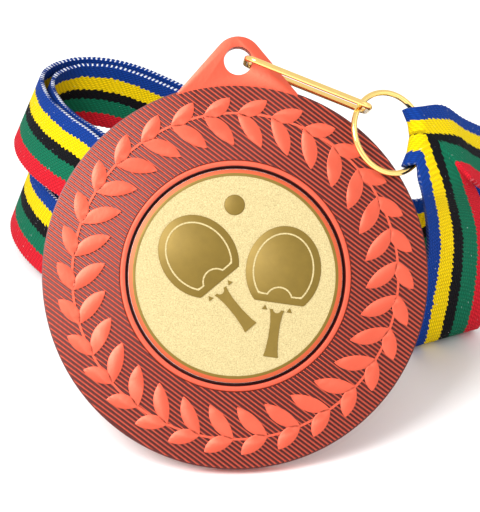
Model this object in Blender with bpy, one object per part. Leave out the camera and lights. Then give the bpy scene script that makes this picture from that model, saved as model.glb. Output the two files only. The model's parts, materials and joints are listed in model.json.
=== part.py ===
"""Table tennis medal on a striped neck ribbon, leaning back on its own coiled ribbon.

Eight pieces: a die-cast medal with an eyelet tab, a three-layer 25 mm centre emblem glued into its seat,
an oblong wire link through the eyelet, a round wire ring through the link, and a 10 mm woven ribbon whose
folded and sewn end hangs from the ring. +Z is up and the ribbon and the medal's rim stand on Z = 0.
"""

import math

import bmesh
import bpy
from mathutils import Matrix, Vector

MM = 0.001

# Medal casting, in its own frame: +X right, +Y towards the tab, +Z out of the face, Z = 0 mid thickness.
DISC_RADIUS = 22.5 * MM
DISC_THICKNESS = 2.5 * MM
EDGE_CHAMFER = 0.25 * MM
RELIEF_DEPTH = 0.3 * MM
EMBLEM_RADIUS = 12.5 * MM
BEAD_OUTER_RADIUS = EMBLEM_RADIUS + 0.9 * MM
BEAD_INNER_RADIUS = EMBLEM_RADIUS + 0.4 * MM
SEAT_DEPTH = 1.1 * MM
SEAT_CLEARANCE = 0.15 * MM
DISC_STEPS = 96

# Tab with the hanging hole.
HOLE_HEIGHT = DISC_RADIUS + 2.65 * MM
HOLE_RADIUS = 1.67 * MM
TAB_WALL = 1.2 * MM
TAB_FOOT_HALF_WIDTH = 7.0 * MM
TAB_FACE_DROP = 0.15 * MM
TAB_STEPS = 16
HOLE_STEPS = 32

# Laurel wreath: pairs of leaves that point clockwise round the disc, sized to the ground between bead and rim.
GROUND_WIDTH = DISC_RADIUS - BEAD_OUTER_RADIUS
LEAF_PAIRS = 30
LEAF_BASE_RADIUS = BEAD_OUTER_RADIUS + 0.615 * GROUND_WIDTH
INNER_LEAF_LENGTH = 0.538 * GROUND_WIDTH
INNER_LEAF_TURN = math.radians(-55.0)
OUTER_LEAF_LENGTH = 0.412 * GROUND_WIDTH
OUTER_LEAF_TURN = math.radians(24.0)
LEAF_WIDTH = 0.192 * GROUND_WIDTH
LEAF_FOOT_SHARE = 0.05
LEAF_SIDE_STEPS = 4
FIRST_PAIR_ANGLE = math.radians(102.0)

# Centre emblem: adhesive pad, plastic core and metal foil, from the seat's floor up.
ADHESIVE_RADIUS = EMBLEM_RADIUS - 0.9 * MM
ADHESIVE_THICKNESS = 0.2 * MM
CORE_THICKNESS = 0.4 * MM
FOIL_RADIUS = EMBLEM_RADIUS - 0.2 * MM
FOIL_THICKNESS = 0.15 * MM
LAYER_GAP = 0.04 * MM
EMBLEM_STEPS = 72

# How the medal leans: back from upright, and a little clockwise.
LEAN = math.radians(30.0)
ROLL = math.radians(2.2)

# Oblong wire link, through the tab's hole and round the ring's wire; its plane holds the medal's normal.
LINK_WIRE_RADIUS = 0.37 * MM
LINK_LENGTH = 16.0 * MM
LINK_FRONT = 4.3 * MM
LINK_HOLE_OFFSET = 0.95 * MM
LINK_BACK_GAP = 0.3 * MM
LINK_CORNER_RADIUS = 1.1 * MM
LINK_SLOPE = math.radians(-20.8)
CORNER_STEPS = 5
WIRE_SIDES = 10

# Round wire ring. Its centre is given from the end of the link's wire line, and both are in the medal's frame.
RING_RADIUS = 4.85 * MM
RING_WIRE_RADIUS = 0.35 * MM
RING_OFF_LINK = Vector((2.445, -2.811, 1.7)) * MM
RING_NORMAL = Vector((0.48, 0.16, 0.86)).normalized()
RING_STEPS = 56

# Ribbon: a woven tape, doubled, with its two strands mitred and sewn where they leave the ring.
TAPE_WIDTH = 10.0 * MM
TAPE_THICKNESS = 0.6 * MM
LAYER_OFFSET = 0.75 * MM
ROW_SPACING = 3.6 * MM
COLUMNS = (0.0, 0.4, 1.0)
FOLD_RADIUS = 1.0 * MM
FOLD_STEPS = 6
FLOOR_LIFT = EDGE_CHAMFER * math.sin(LEAN)
ROW_SAG = 0.35 * MM
ROW_PARTS = 8

# The mitred row in the ring's plane (right, up), point by point from the blue edge to the crotch: the first
# three lie on the fold, and each strand has its own two, which meet the shared ones at its black stripe.
MITRE_SHARES = (0.0, 0.2, 0.4, 0.6, 0.8, 1.0)
LOWER_FOLD = ((1.85, -3.8), (2.8, -2.1))
UPPER_FOLD = ((2.68, 3.1), (3.3, 1.5))
MITRE = ((3.4, -0.1), (6.15, -0.85), (8.5, -3.2), (10.5, -5.1))

# The flap that the fold leaves behind the ring, level by level: right end, height off the ring's plane, and the
# share of the fold's height that it keeps.
FLAP = ((5.5, -0.95, 0.9), (7.0, -1.1, 0.7), (8.2, -1.35, 0.55))

# Free strands between the mitre and the coil: the tape's centre, and the way to its blue edge.
LOWER_STRAND = (
    ((25.36, 16.4, 28.3), (-0.72, -0.60, 0.33)),
    ((26.75, 20.0, 23.2), (-0.76, -0.61, 0.21)),
    ((27.75, 22.4, 18.0), (-0.82, -0.56, 0.10)),
    ((28.00, 24.6, 12.3), (-0.88, -0.47, 0.07)),
    ((27.80, 26.2, 7.3), (-0.91, -0.41, 0.06)),
    ((27.40, 27.5, 3.1), (-0.90, -0.43, 0.03)),
    ((27.00, 29.5, 0.8), (-0.89, -0.46, 0.00)),
    ((25.90, 32.8, 0.6), (-0.87, -0.49, 0.00)),
    ((24.20, 36.6, 0.9), (-0.84, -0.55, 0.02)),
    ((20.60, 41.0, 2.7), (-0.60, -0.68, 0.36)),
    ((16.20, 45.9, 4.9), (-0.15, -0.45, 0.85)),
)
UPPER_STRAND = (
    ((26.9, 20.5, 31.7), (-0.34, 0.62, 0.71)),
    ((29.0, 22.6, 29.4), (-0.14, 0.85, 0.50)),
    ((32.5, 26.5, 26.2), (-0.06, 0.90, 0.44)),
    ((36.0, 32.0, 21.4), (0.03, 0.66, 0.74)),
    ((37.6, 38.8, 15.0), (0.15, 0.67, 0.73)),
    ((35.4, 45.0, 9.5), (-0.30, 0.43, 0.85)),
    ((29.3, 48.8, 6.1), (-0.28, 0.04, 0.96)),
    ((21.6, 49.3, 5.3), (-0.05, 0.01, 1.00)),
)

# The coil: centre of the doubled tape, height of its lower edge, and how far that edge flares outwards.
COIL = (
    ((11.2, 52.0), 0.0, 0), ((5.0, 58.6), 0.0, 0), ((-2.5, 65.0), 0.0, 2), ((-10.5, 70.4), 0.0, 6),
    ((-16.8, 71.6), 0.3, 12), ((-21.8, 69.6), 0.8, 17), ((-24.5, 65.0), 1.2, 20), ((-24.9, 59.6), 1.4, 20),
    ((-23.7, 54.2), 1.2, 19), ((-21.2, 49.0), 0.8, 17), ((-17.6, 43.8), 0.3, 13), ((-14.0, 37.4), 0.0, 8),
    ((-11.0, 30.0), 0.0, 2), ((-8.6, 22.8), 0.0, 0), ((-4.6, 16.8), 0.0, 0), ((1.0, 14.6), 0.0, 0),
    ((7.0, 14.9), 0.1, 0), ((12.6, 18.0), 0.7, 0), ((15.8, 24.6), 1.9, 0), ((16.2, 32.6), 3.5, 0),
    ((13.8, 40.8), 5.4, 0), ((9.2, 48.4), 7.3, 0), ((3.2, 55.6), 9.2, 0), ((-3.4, 62.0), 10.6, 0),
    ((-10.4, 68.6), 11.5, 6), ((-16.0, 70.6), 12.1, 12), ((-20.6, 69.0), 12.7, 19), ((-23.5, 64.6), 13.2, 22),
    ((-23.8, 59.4), 13.4, 22), ((-22.5, 54.2), 13.3, 21), ((-20.0, 49.2), 13.1, 19), ((-16.5, 44.2), 12.8, 14),
    ((-13.0, 37.8), 12.2, 9), ((-10.2, 30.4), 11.7, 4), ((-7.8, 23.2), 11.3, 1), ((-3.8, 17.0), 10.8, 0),
    ((1.4, 14.6), 10.8, 0), ((6.4, 15.4), 10.8, 0), ((10.0, 19.6), 10.8, 0), ((11.4, 26.6), 10.8, 0),
    ((10.2, 34.0), 10.8, 0), ((6.2, 41.0), 10.8, 0),
)

# Bar tack that closes the fold, a zigzag of thread against the back of the flap, in the ring's frame.
TACK_STROKES = 7
TACK_PITCH = 0.45 * MM
TACK_LENGTH = 1.3 * MM
TACK_ACROSS = 7.5 * MM
TACK_OFF = -1.85 * MM
THREAD_RADIUS = 0.12 * MM


def clear_scene():
    for obj in list(bpy.data.objects):
        bpy.data.objects.remove(obj, do_unlink=True)


def make_material(name, color, roughness, metallic):
    material = bpy.data.materials.new(name)
    material.use_nodes = True
    shader = material.node_tree.nodes["Principled BSDF"]
    shader.inputs["Base Color"].default_value = (*color, 1.0)
    shader.inputs["Roughness"].default_value = roughness
    shader.inputs["Metallic"].default_value = metallic
    return material


def add_node(name, bm, material, parent, place=Matrix.Identity(4)):
    """A named object from a bmesh, under its parent at the given place."""
    mesh = bpy.data.meshes.new(name)
    bmesh.ops.recalc_face_normals(bm, faces=bm.faces)
    bm.to_mesh(mesh)
    bm.free()
    mesh.shade_smooth()
    mesh.set_sharp_from_angle(angle=math.radians(40))
    mesh.materials.append(material)
    obj = bpy.data.objects.new(name, mesh)
    bpy.context.scene.collection.objects.link(obj)
    obj.parent = parent
    obj.matrix_local = place
    return obj


def add_empty(name, parent=None, place=Matrix.Identity(4)):
    empty = bpy.data.objects.new(name, None)
    bpy.context.scene.collection.objects.link(empty)
    empty.empty_display_size = 0.005
    empty.parent = parent
    empty.matrix_local = place
    return empty


def add_cutter(target, name, bm, operation="DIFFERENCE"):
    """A hidden mesh in its target's frame, which a Boolean takes from the target or joins to it."""
    cutter = add_node(name, bm, target.data.materials[0], target.parent)
    cutter.hide_render = True
    cutter.display_type = "WIRE"
    boolean = target.modifiers.new(name, "BOOLEAN")
    boolean.operation = operation
    boolean.object = cutter
    boolean.solver = "EXACT"
    boolean.use_self = operation == "UNION"


def turned(profile, steps):
    """A solid turned about Z from a profile of (radius, height) points that starts and ends on the axis."""
    bm = bmesh.new()
    points = [bm.verts.new((radius, 0.0, height)) for radius, height in profile]
    edges = [bm.edges.new(pair) for pair in zip(points, points[1:])]
    bmesh.ops.spin(bm, geom=points + edges, axis=(0, 0, 1), cent=(0, 0, 0), angle=math.tau, steps=steps)
    bmesh.ops.remove_doubles(bm, verts=bm.verts, dist=0.001 * MM)
    return bm


def prism(bm, outline, low, high):
    """A closed plate between two heights, from an outline of (x, y) points."""
    floor = bm.faces.new([bm.verts.new((x, y, low)) for x, y in outline])
    walls = bmesh.ops.extrude_face_region(bm, geom=[floor])["geom"]
    tops = [v for v in walls if isinstance(v, bmesh.types.BMVert)]
    bmesh.ops.translate(bm, verts=tops, vec=(0, 0, high - low))


def round_wire(path, radius, sides, normal):
    """A closed round wire along a closed path that lies in the plane of the given normal."""
    bm = bmesh.new()
    loops = []
    for index, point in enumerate(path):
        ahead = (path[(index + 1) % len(path)] - path[index - 1]).normalized()
        outward = ahead.cross(normal).normalized()
        turns = [math.tau * side / sides for side in range(sides)]
        offsets = [radius * (math.cos(turn) * outward + math.sin(turn) * normal) for turn in turns]
        loops.append([bm.verts.new(point + offset) for offset in offsets])
    for loop, following in zip(loops, loops[1:] + loops[:1]):
        for side in range(sides):
            after = (side + 1) % sides
            bm.faces.new((loop[side], loop[after], following[after], following[side]))
    return bm


def leaf_outline(base, heading, length, width):
    """One pointed leaf: a blunt foot, full sides and a sharp tip."""
    ahead = Vector((math.cos(heading), math.sin(heading)))
    aside = Vector((-ahead.y, ahead.x))
    side = 1 - LEAF_FOOT_SHARE
    shares = [LEAF_FOOT_SHARE + side * step / LEAF_SIDE_STEPS for step in range(LEAF_SIDE_STEPS)]
    swell = [0.5 * width * math.sin(math.pi * share ** 0.8) + 0.04 * width for share in shares]
    left = [base + share * length * ahead + w * aside for share, w in zip(shares, swell)]
    right = [base + share * length * ahead - w * aside for share, w in zip(shares, swell)]
    return right + [base + length * ahead] + left[::-1]


def tab_outline():
    """A rounded lug round the hole, whose straight sides run down into the disc's edge."""
    cap_radius = HOLE_RADIUS + TAB_WALL
    foot_height = math.sqrt(DISC_RADIUS ** 2 - TAB_FOOT_HALF_WIDTH ** 2)
    drop = HOLE_HEIGHT - foot_height
    start = math.acos(cap_radius / math.hypot(TAB_FOOT_HALF_WIDTH, drop))
    start -= math.atan2(drop, TAB_FOOT_HALF_WIDTH)
    angles = [start + (math.pi - 2 * start) * step / TAB_STEPS for step in range(TAB_STEPS + 1)]
    cap = [(cap_radius * math.cos(a), HOLE_HEIGHT + cap_radius * math.sin(a)) for a in angles]
    foot = [(TAB_FOOT_HALF_WIDTH, foot_height), (0.8 * TAB_FOOT_HALF_WIDTH, 0.85 * foot_height)]
    return foot[::-1] + cap + [(-x, y) for x, y in foot]


def smooth(points, share):
    """A point on the smooth curve through the middle two of four points."""
    before, start, end, after = points
    return 0.5 * (
        2 * start + (end - before) * share + (2 * before - 5 * start + 4 * end - after) * share ** 2
        + (3 * start - before - 3 * end + after) * share ** 3)


def smooth_path(points, parts):
    """The smooth curve through all the points, each step between two of them cut into parts."""
    path = []
    for index in range(len(points) - 1):
        before = points[index - 1] if index else 2 * points[0] - points[1]
        after = points[index + 2] if index + 2 < len(points) else 2 * points[-1] - points[-2]
        near = (before, points[index], points[index + 1], after)
        path += [smooth(near, part / parts) for part in range(parts)]
    return path + [points[-1]]


# Casting and emblem

def build_casting(frame, metal):
    face = DISC_THICKNESS / 2
    floor = face - RELIEF_DEPTH
    seat = face - SEAT_DEPTH
    seat_radius = EMBLEM_RADIUS + SEAT_CLEARANCE
    bm = turned((
        (0, seat), (seat_radius, seat), (BEAD_INNER_RADIUS, face), (BEAD_OUTER_RADIUS, face),
        (BEAD_OUTER_RADIUS + RELIEF_DEPTH / 2, floor), (DISC_RADIUS - EDGE_CHAMFER, floor),
        (DISC_RADIUS, floor - EDGE_CHAMFER), (DISC_RADIUS, EDGE_CHAMFER - face),
        (DISC_RADIUS - EDGE_CHAMFER, -face), (0, -face)), DISC_STEPS)
    casting = add_node("medal_casting", bm, metal, frame)
    tab = bmesh.new()
    prism(tab, tab_outline(), -face, face - TAB_FACE_DROP)
    add_cutter(casting, "tab_blank", tab, "UNION")
    leaves = bmesh.new()
    for pair in range(LEAF_PAIRS):
        angle = FIRST_PAIR_ANGLE - math.tau * pair / LEAF_PAIRS
        base = LEAF_BASE_RADIUS * Vector((math.cos(angle), math.sin(angle)))
        onward = angle - math.pi / 2
        for length, turn in ((INNER_LEAF_LENGTH, INNER_LEAF_TURN), (OUTER_LEAF_LENGTH, OUTER_LEAF_TURN)):
            outline = leaf_outline(base, onward + turn, length, LEAF_WIDTH)
            prism(leaves, outline, floor - RELIEF_DEPTH, face)
    add_cutter(casting, "leaf_relief", leaves, "UNION")
    hole = bmesh.new()
    bmesh.ops.create_cone(
        hole, cap_ends=True, segments=HOLE_STEPS, radius1=HOLE_RADIUS, radius2=HOLE_RADIUS,
        depth=2 * DISC_THICKNESS, matrix=Matrix.Translation((0, HOLE_HEIGHT, 0)))
    add_cutter(casting, "hanging_hole", hole)


def build_emblem(frame, foil, plastic, adhesive):
    floor = DISC_THICKNESS / 2 - SEAT_DEPTH + LAYER_GAP
    layers = (
        ("emblem_adhesive", ADHESIVE_RADIUS, ADHESIVE_THICKNESS, adhesive),
        ("emblem_core", EMBLEM_RADIUS, CORE_THICKNESS, plastic),
        ("emblem_foil", FOIL_RADIUS, FOIL_THICKNESS, foil))
    for name, radius, thickness, material in layers:
        top = floor + thickness
        bevel = thickness / 4
        profile = ((0, top), (radius - bevel, top), (radius, top - bevel), (radius, floor), (0, floor))
        add_node(name, turned(profile, EMBLEM_STEPS), material, frame)
        floor = top + LAYER_GAP


# Link and ring

def link_path():
    """The link's wire line about its end in the hole: along X away from the hole, and along Z through it."""
    back = -DISC_THICKNESS / 2 - LINK_BACK_GAP - LINK_WIRE_RADIUS
    far = LINK_LENGTH - 2 * LINK_WIRE_RADIUS
    inset = LINK_CORNER_RADIUS
    corners = (
        (far - inset, LINK_FRONT - inset, 0.5), (inset, LINK_FRONT - inset, 1.0),
        (inset, back + inset, 1.5), (far - inset, back + inset, 2.0))
    path = []
    for x, z, end in corners:
        for step in range(CORNER_STEPS + 1):
            angle = math.pi * (end - 0.5 + 0.5 * step / CORNER_STEPS)
            path.append(Vector((x + inset * math.cos(angle), 0, z + inset * math.sin(angle))))
    return path


def build_link(frame, metal):
    slope = Matrix.Rotation(LINK_SLOPE, 4, "Z")
    pivot = add_empty("link_pivot", frame, Matrix.Translation((LINK_HOLE_OFFSET, HOLE_HEIGHT, 0)) @ slope)
    wire = round_wire(link_path(), LINK_WIRE_RADIUS, WIRE_SIDES, Vector((0, 1, 0)))
    add_node("oblong_link", wire, metal, pivot)


def ring_frame():
    """The ring's own frame in the medal's: Z along its normal, Y as near to the medal's Y as it can be."""
    ahead = RING_NORMAL
    upward = (Vector((0, 1, 0)) - ahead.y * ahead).normalized()
    across = upward.cross(ahead)
    turn = Matrix((across, upward, ahead)).transposed().to_4x4()
    run = LINK_LENGTH - 2 * LINK_WIRE_RADIUS
    link_end = Vector((
        LINK_HOLE_OFFSET + run * math.cos(LINK_SLOPE), HOLE_HEIGHT + run * math.sin(LINK_SLOPE), 0))
    return Matrix.Translation(link_end + RING_OFF_LINK) @ turn


def build_ring(frame, metal):
    angles = [math.tau * step / RING_STEPS for step in range(RING_STEPS)]
    path = [RING_RADIUS * Vector((math.cos(a), math.sin(a), 0)) for a in angles]
    pivot = add_empty("ring_pivot", frame, ring_frame())
    add_node("jump_ring", round_wire(path, RING_WIRE_RADIUS, WIRE_SIDES, Vector((0, 0, 1))), metal, pivot)


# Ribbon

def strand_rows(strand):
    """Blue and red edge points of a free strand's rows."""
    rows = []
    for centre, blue_way in strand:
        middle = Vector(centre) * MM
        way = Vector(blue_way).normalized() * TAPE_WIDTH / 2
        rows.append((middle + way, middle - way))
    return rows


def coil_rows(offset):
    """Edge points of one layer of the coil, off the doubled tape's centre along its surface."""
    rows = []
    plan = [Vector((x, y, 0)) * MM for (x, y), _, _ in COIL]
    for index, (_, height, flare) in enumerate(COIL):
        ahead = (plan[min(index + 1, len(COIL) - 1)] - plan[max(index - 1, 0)]).normalized()
        outward = ahead.cross(Vector((0, 0, 1)))
        tilt = math.radians(flare)
        way = (math.cos(tilt) * Vector((0, 0, 1)) - math.sin(tilt) * outward) * TAPE_WIDTH / 2
        face = math.cos(tilt) * outward + math.sin(tilt) * Vector((0, 0, 1))
        rise = math.cos(tilt) * TAPE_WIDTH / 2 + math.sin(tilt) * (LAYER_OFFSET + TAPE_THICKNESS / 2)
        lift = (height * MM + rise + FLOOR_LIFT) * Vector((0, 0, 1))
        centre = plan[index] + lift + offset * face
        rows.append((centre + way, centre - way))
    return rows


def neck_rows(inner, outer):
    """The tight turn at the neck, from the end of one layer round to the end of the other."""
    rows = []
    for step in range(1, FOLD_STEPS):
        angle = math.pi * step / FOLD_STEPS
        row = []
        for near, far, before in zip(inner[-1], outer[-1], inner[-2]):
            middle = (near + far) / 2
            ahead = (near - before).normalized() * (far - near).length / 2
            row.append(middle + math.cos(angle) * (near - middle) + math.sin(angle) * ahead)
        rows.append(tuple(row))
    return rows


def spread(row, shares):
    """Points across a row, from its blue edge to its red edge."""
    blue, red = row
    return [blue.lerp(red, share) for share in shares]


def thinned(rows):
    """Leaves out rows that stand closer than the spacing, unless the tape turns there."""
    kept = [rows[0]]
    for before, row, after in zip(rows, rows[1:], rows[2:]):
        run = max((row[0] - kept[-1][0]).length, (row[-1] - kept[-1][-1]).length)
        bend = max((row[side] - kept[-1][side]).angle(after[side] - row[side]) for side in (0, -1))
        if run > ROW_SPACING or run * bend > ROW_SAG:
            kept.append(row)
    return kept + [rows[-1]]


def mitre_row(place, fold):
    """The row where a strand meets the other one, at the tape's columns."""
    picks = [MITRE_SHARES.index(share) for share in COLUMNS]
    points = []
    for index, (across, upward) in enumerate(fold + MITRE):
        inset = FOLD_RADIUS if index < 3 else 0
        points.append(place @ Vector((across * MM + inset, upward * MM, FOLD_RADIUS)))
    return [points[pick] for pick in picks]


def ribbon_rows(place):
    """All rows of the tape in order: mitre, lower strand, coil, neck, coil again, upper strand, mitre."""
    inner, outer = coil_rows(-LAYER_OFFSET), coil_rows(LAYER_OFFSET)
    lower = [spread(row, COLUMNS) for row in strand_rows(LOWER_STRAND) + inner]
    upper = [spread(row, COLUMNS) for row in strand_rows(UPPER_STRAND) + outer]
    down = smooth_rows([mitre_row(place, LOWER_FOLD)] + lower)
    back = smooth_rows([mitre_row(place, UPPER_FOLD)] + upper)
    neck = [spread(row, COLUMNS) for row in neck_rows(inner, outer)]
    return thinned(down) + neck + thinned(back)[::-1]


def smooth_rows(rows):
    """Rows on the smooth curves through each column of points."""
    columns = [smooth_path([row[column] for row in rows], ROW_PARTS) for column in range(len(COLUMNS))]
    return [list(row) for row in zip(*columns)]


def fold_rows(place, lower, upper):
    """The turn of the fold round the ring's wire and the flap behind, each row from the bottom to the top."""
    inverse = place.inverted()
    edge = [inverse @ point for point in lower + upper]
    rows = []
    for step in range(1, FOLD_STEPS + 1):
        angle = math.pi * step / FOLD_STEPS
        shift = Vector((-math.sin(angle), 0, math.cos(angle) - 1)) * FOLD_RADIUS
        rows.append([place @ (point + shift) for point in edge])
    for across, off, share in FLAP:
        rows.append([place @ Vector((across * MM, share * point.y, off * MM)) for point in edge])
    return rows


def build_ribbon(root, frame, cloth):
    place = frame.matrix_world @ ring_frame()
    rows = ribbon_rows(place)
    bm = bmesh.new()
    grid = [[bm.verts.new(point) for point in row] for row in rows[:-1]]
    shared = COLUMNS.index(MITRE_SHARES[2])
    grid.append([bm.verts.new(point) for point in rows[-1][:shared]] + grid[0][shared:])
    for row, following in zip(grid, grid[1:]):
        for side in range(len(COLUMNS) - 1):
            bm.faces.new((row[side], row[side + 1], following[side + 1], following[side]))
    edge = grid[0][:shared + 1] + grid[-1][:shared][::-1]
    lower, upper = rows[0][:shared + 1], rows[-1][:shared][::-1]
    for row in fold_rows(place, lower, upper):
        following = [bm.verts.new(point) for point in row]
        for side in range(len(edge) - 1):
            bm.faces.new((edge[side], edge[side + 1], following[side + 1], following[side]))
        edge = following
    pivot = add_empty("ribbon_pivot", root, place)
    bmesh.ops.transform(bm, matrix=place.inverted(), verts=bm.verts)
    ribbon = add_node("ribbon", bm, cloth, pivot)
    solidify = ribbon.modifiers.new("tape_thickness", "SOLIDIFY")
    solidify.thickness = TAPE_THICKNESS
    solidify.offset = 0
    solidify.use_even_offset = True
    return pivot


def build_seam(pivot, thread):
    """The bar tack as one zigzag thread behind the flap."""
    curve = bpy.data.curves.new("seam_thread", "CURVE")
    curve.dimensions = "3D"
    curve.bevel_depth = THREAD_RADIUS
    curve.bevel_resolution = 2
    curve.use_fill_caps = True
    curve.materials.append(thread)
    spline = curve.splines.new("POLY")
    spline.points.add(TACK_STROKES - 1)
    for index, point in enumerate(spline.points):
        across = TACK_ACROSS + TACK_LENGTH / 2 * (-1) ** index
        upward = TACK_PITCH * (index - (TACK_STROKES - 1) / 2)
        point.co = (across, upward, TACK_OFF, 1.0)
    seam = bpy.data.objects.new("seam_thread", curve)
    bpy.context.scene.collection.objects.link(seam)
    seam.parent = pivot


def set_down(root):
    """Moves the root so that the origin lies under the middle of the part's box, on the floor."""
    bpy.context.view_layer.update()
    graph = bpy.context.evaluated_depsgraph_get()
    points = []
    for obj in bpy.data.objects:
        if obj.type == "MESH" and not obj.hide_render:
            shown = obj.evaluated_get(graph)
            points += [shown.matrix_world @ vertex.co for vertex in shown.data.vertices]
    low = [min(point[axis] for point in points) for axis in range(3)]
    high = [max(point[axis] for point in points) for axis in range(3)]
    root.location = (-(low[0] + high[0]) / 2, -(low[1] + high[1]) / 2, -low[2])


def build_part():
    clear_scene()
    lacquer = make_material("bronze_lacquer", (0.80, 0.22, 0.13), 0.4, 0.6)
    gold = make_material("gold_plate", (0.85, 0.60, 0.16), 0.2, 1.0)
    foil = make_material("gold_foil", (0.83, 0.70, 0.38), 0.35, 0.9)
    plastic = make_material("core_plastic", (0.75, 0.75, 0.72), 0.5, 0.0)
    adhesive = make_material("adhesive_foam", (0.9, 0.9, 0.85), 0.8, 0.0)
    woven = make_material("woven_tape", (0.05, 0.12, 0.45), 0.8, 0.0)
    thread = make_material("polyester_thread", (0.05, 0.10, 0.35), 0.7, 0.0)
    disc_up = Vector((0, math.sin(LEAN), math.cos(LEAN)))
    disc_normal = Vector((0, -math.cos(LEAN), math.sin(LEAN)))
    centre = DISC_RADIUS * disc_up + DISC_THICKNESS / 2 * disc_normal
    turn = Matrix.Rotation(math.pi / 2 - LEAN, 4, "X") @ Matrix.Rotation(-ROLL, 4, "Z")
    root = add_empty("medal")
    frame = add_empty("medal_frame", root, Matrix.Translation(centre) @ turn)
    bpy.context.view_layer.update()
    build_casting(frame, lacquer)
    build_emblem(frame, foil, plastic, adhesive)
    build_link(frame, gold)
    build_ring(frame, gold)
    pivot = build_ribbon(root, frame, woven)
    build_seam(pivot, thread)
    set_down(root)


build_part()
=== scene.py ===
"""Award medal on a striped neck ribbon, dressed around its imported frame."""

import json
import math

import bmesh
import bpy
import numpy as np
from mathutils import Matrix, Vector


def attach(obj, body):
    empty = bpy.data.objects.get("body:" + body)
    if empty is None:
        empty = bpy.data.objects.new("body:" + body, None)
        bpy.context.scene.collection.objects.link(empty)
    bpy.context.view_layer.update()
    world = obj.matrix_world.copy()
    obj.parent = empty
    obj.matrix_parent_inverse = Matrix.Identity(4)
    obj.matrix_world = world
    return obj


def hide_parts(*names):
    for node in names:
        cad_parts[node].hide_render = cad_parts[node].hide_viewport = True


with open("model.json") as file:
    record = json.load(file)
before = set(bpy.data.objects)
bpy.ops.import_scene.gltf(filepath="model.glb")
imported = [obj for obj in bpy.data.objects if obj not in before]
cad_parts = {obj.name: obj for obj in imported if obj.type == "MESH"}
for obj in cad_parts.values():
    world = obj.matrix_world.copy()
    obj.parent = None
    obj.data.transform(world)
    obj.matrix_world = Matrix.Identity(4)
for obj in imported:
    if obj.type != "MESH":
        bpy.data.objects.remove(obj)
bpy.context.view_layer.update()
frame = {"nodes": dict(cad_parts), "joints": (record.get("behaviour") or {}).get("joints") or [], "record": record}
MM = 0.001

# Place of the medal and its ribbon ring. The medal leans back and is rolled a little clockwise. Its own frame
# has X to the right, Y towards the tab and Z out of the face. The link's hinge runs through the hanging hole.
MEDAL_ROLL = math.radians(2.2)
DISC_RADIUS = 22.5 * MM
DISC_THICKNESS = 2.5 * MM
HOLE_HEIGHT = 25.15 * MM
LINK_HOLE_OFFSET = 0.95 * MM
mounts = {mount["name"]: mount for mount in frame["record"]["mounts"]}
hinges = {joint["name"]: joint for joint in frame["joints"]}


def framed(across, upward, outward, centre):
    """The matrix of a frame from its three axes and its centre."""
    turn = Matrix((across, upward, outward)).transposed().to_4x4()
    return Matrix.Translation(centre) @ turn


medal_out = Vector(mounts["emblem_face"]["axis"]).normalized()
lean_up = Vector((0, medal_out.z, -medal_out.y))
medal_up = Matrix.Rotation(-MEDAL_ROLL, 3, medal_out) @ lean_up
medal_right = medal_up.cross(medal_out)
link_hinge = Vector(hinges["link_swing"]["pos_m"])
medal_centre = link_hinge - LINK_HOLE_OFFSET * medal_right - HOLE_HEIGHT * medal_up
medal_place = framed(medal_right, medal_up, medal_out, medal_centre)
ring_out = Vector(hinges["ribbon_turn"]["axis"]).normalized()
ring_up = (medal_up - medal_up.dot(ring_out) * ring_out).normalized()
ring_centre = Vector(hinges["ribbon_turn"]["pos_m"])
ring_place = framed(ring_up.cross(ring_out), ring_up, ring_out, ring_centre)
rim_foot = medal_centre - DISC_RADIUS * lean_up - DISC_THICKNESS / 2 * medal_out


# Camera. It looks down at the face from the front, a little from the left, with a long lens.
VIEW_DOWN = math.radians(27.0)
VIEW_ASIDE = math.radians(3.0)
VIEW_DISTANCE = 0.35
AIM_ASIDE = 0.56 * MM
AIM_UP = 2.358 * MM
view_right = Vector((math.cos(VIEW_ASIDE), -math.sin(VIEW_ASIDE), 0))
view_level = Vector((math.sin(VIEW_ASIDE), math.cos(VIEW_ASIDE), 0))
view_ahead = math.cos(VIEW_DOWN) * view_level - math.sin(VIEW_DOWN) * Vector((0, 0, 1))
view_up = view_right.cross(view_ahead)
aim = medal_centre + AIM_ASIDE * view_right + AIM_UP * view_up
bpy.ops.object.camera_add()
camera = bpy.context.object
camera.name = "camera"
camera.matrix_world = framed(view_right, view_up, -view_ahead, aim - VIEW_DISTANCE * view_ahead)
camera.data.lens = 210.8
camera.data.clip_start = 0.01
bpy.context.scene.camera = camera


# Ribbon. A woven polyester tape 10 mm wide with five stripes, doubled: both ends are mitred, folded round the
# ring and sewn, and the doubled tape lies on edge in two turns behind the medal.
TAPE_WIDTH = 10.0 * MM
TAPE_THICKNESS = 0.5 * MM
LAYER_OFFSET = 0.75 * MM
ROW_PITCH = 0.325 * MM
FOLD_RADIUS = 1.0 * MM
SELVEDGE_BUMP = 0.055 * MM
FLOOR_LIFT = 0.125 * MM
SHARES = (0.0, 0.012, 0.04, 0.1, 0.15, 0.2, 0.25, 0.3, 0.35, 0.4, 0.45, 0.5, 0.55, 0.6, 0.65, 0.7, 0.75, 0.8,
          0.85, 0.9, 0.96, 0.988, 1.0)
SELVEDGE_WAYS = {0: 1.0, 1: 0.6, len(SHARES) - 2: -0.6, len(SHARES) - 1: -1.0}
SEWN_ROWS = 10
MITRE_SHARES = (0.0, 0.2, 0.4, 0.55, 0.775, 1.0)
STRIPE_STARTS = (0.0, 0.185, 0.395, 0.55, 0.775)
LOWER_FOLD = ((1.85, -3.8), (2.8, -2.1))
UPPER_FOLD = ((2.68, 3.1), (3.3, 1.5))
MITRE = ((3.4, -0.1), (6.15, -0.85), (8.5, -3.2), (10.5, -5.1))
FLAP = ((5.5, -0.95, 0.9), (7.0, -1.1, 0.7), (8.2, -1.35, 0.55))
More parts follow.
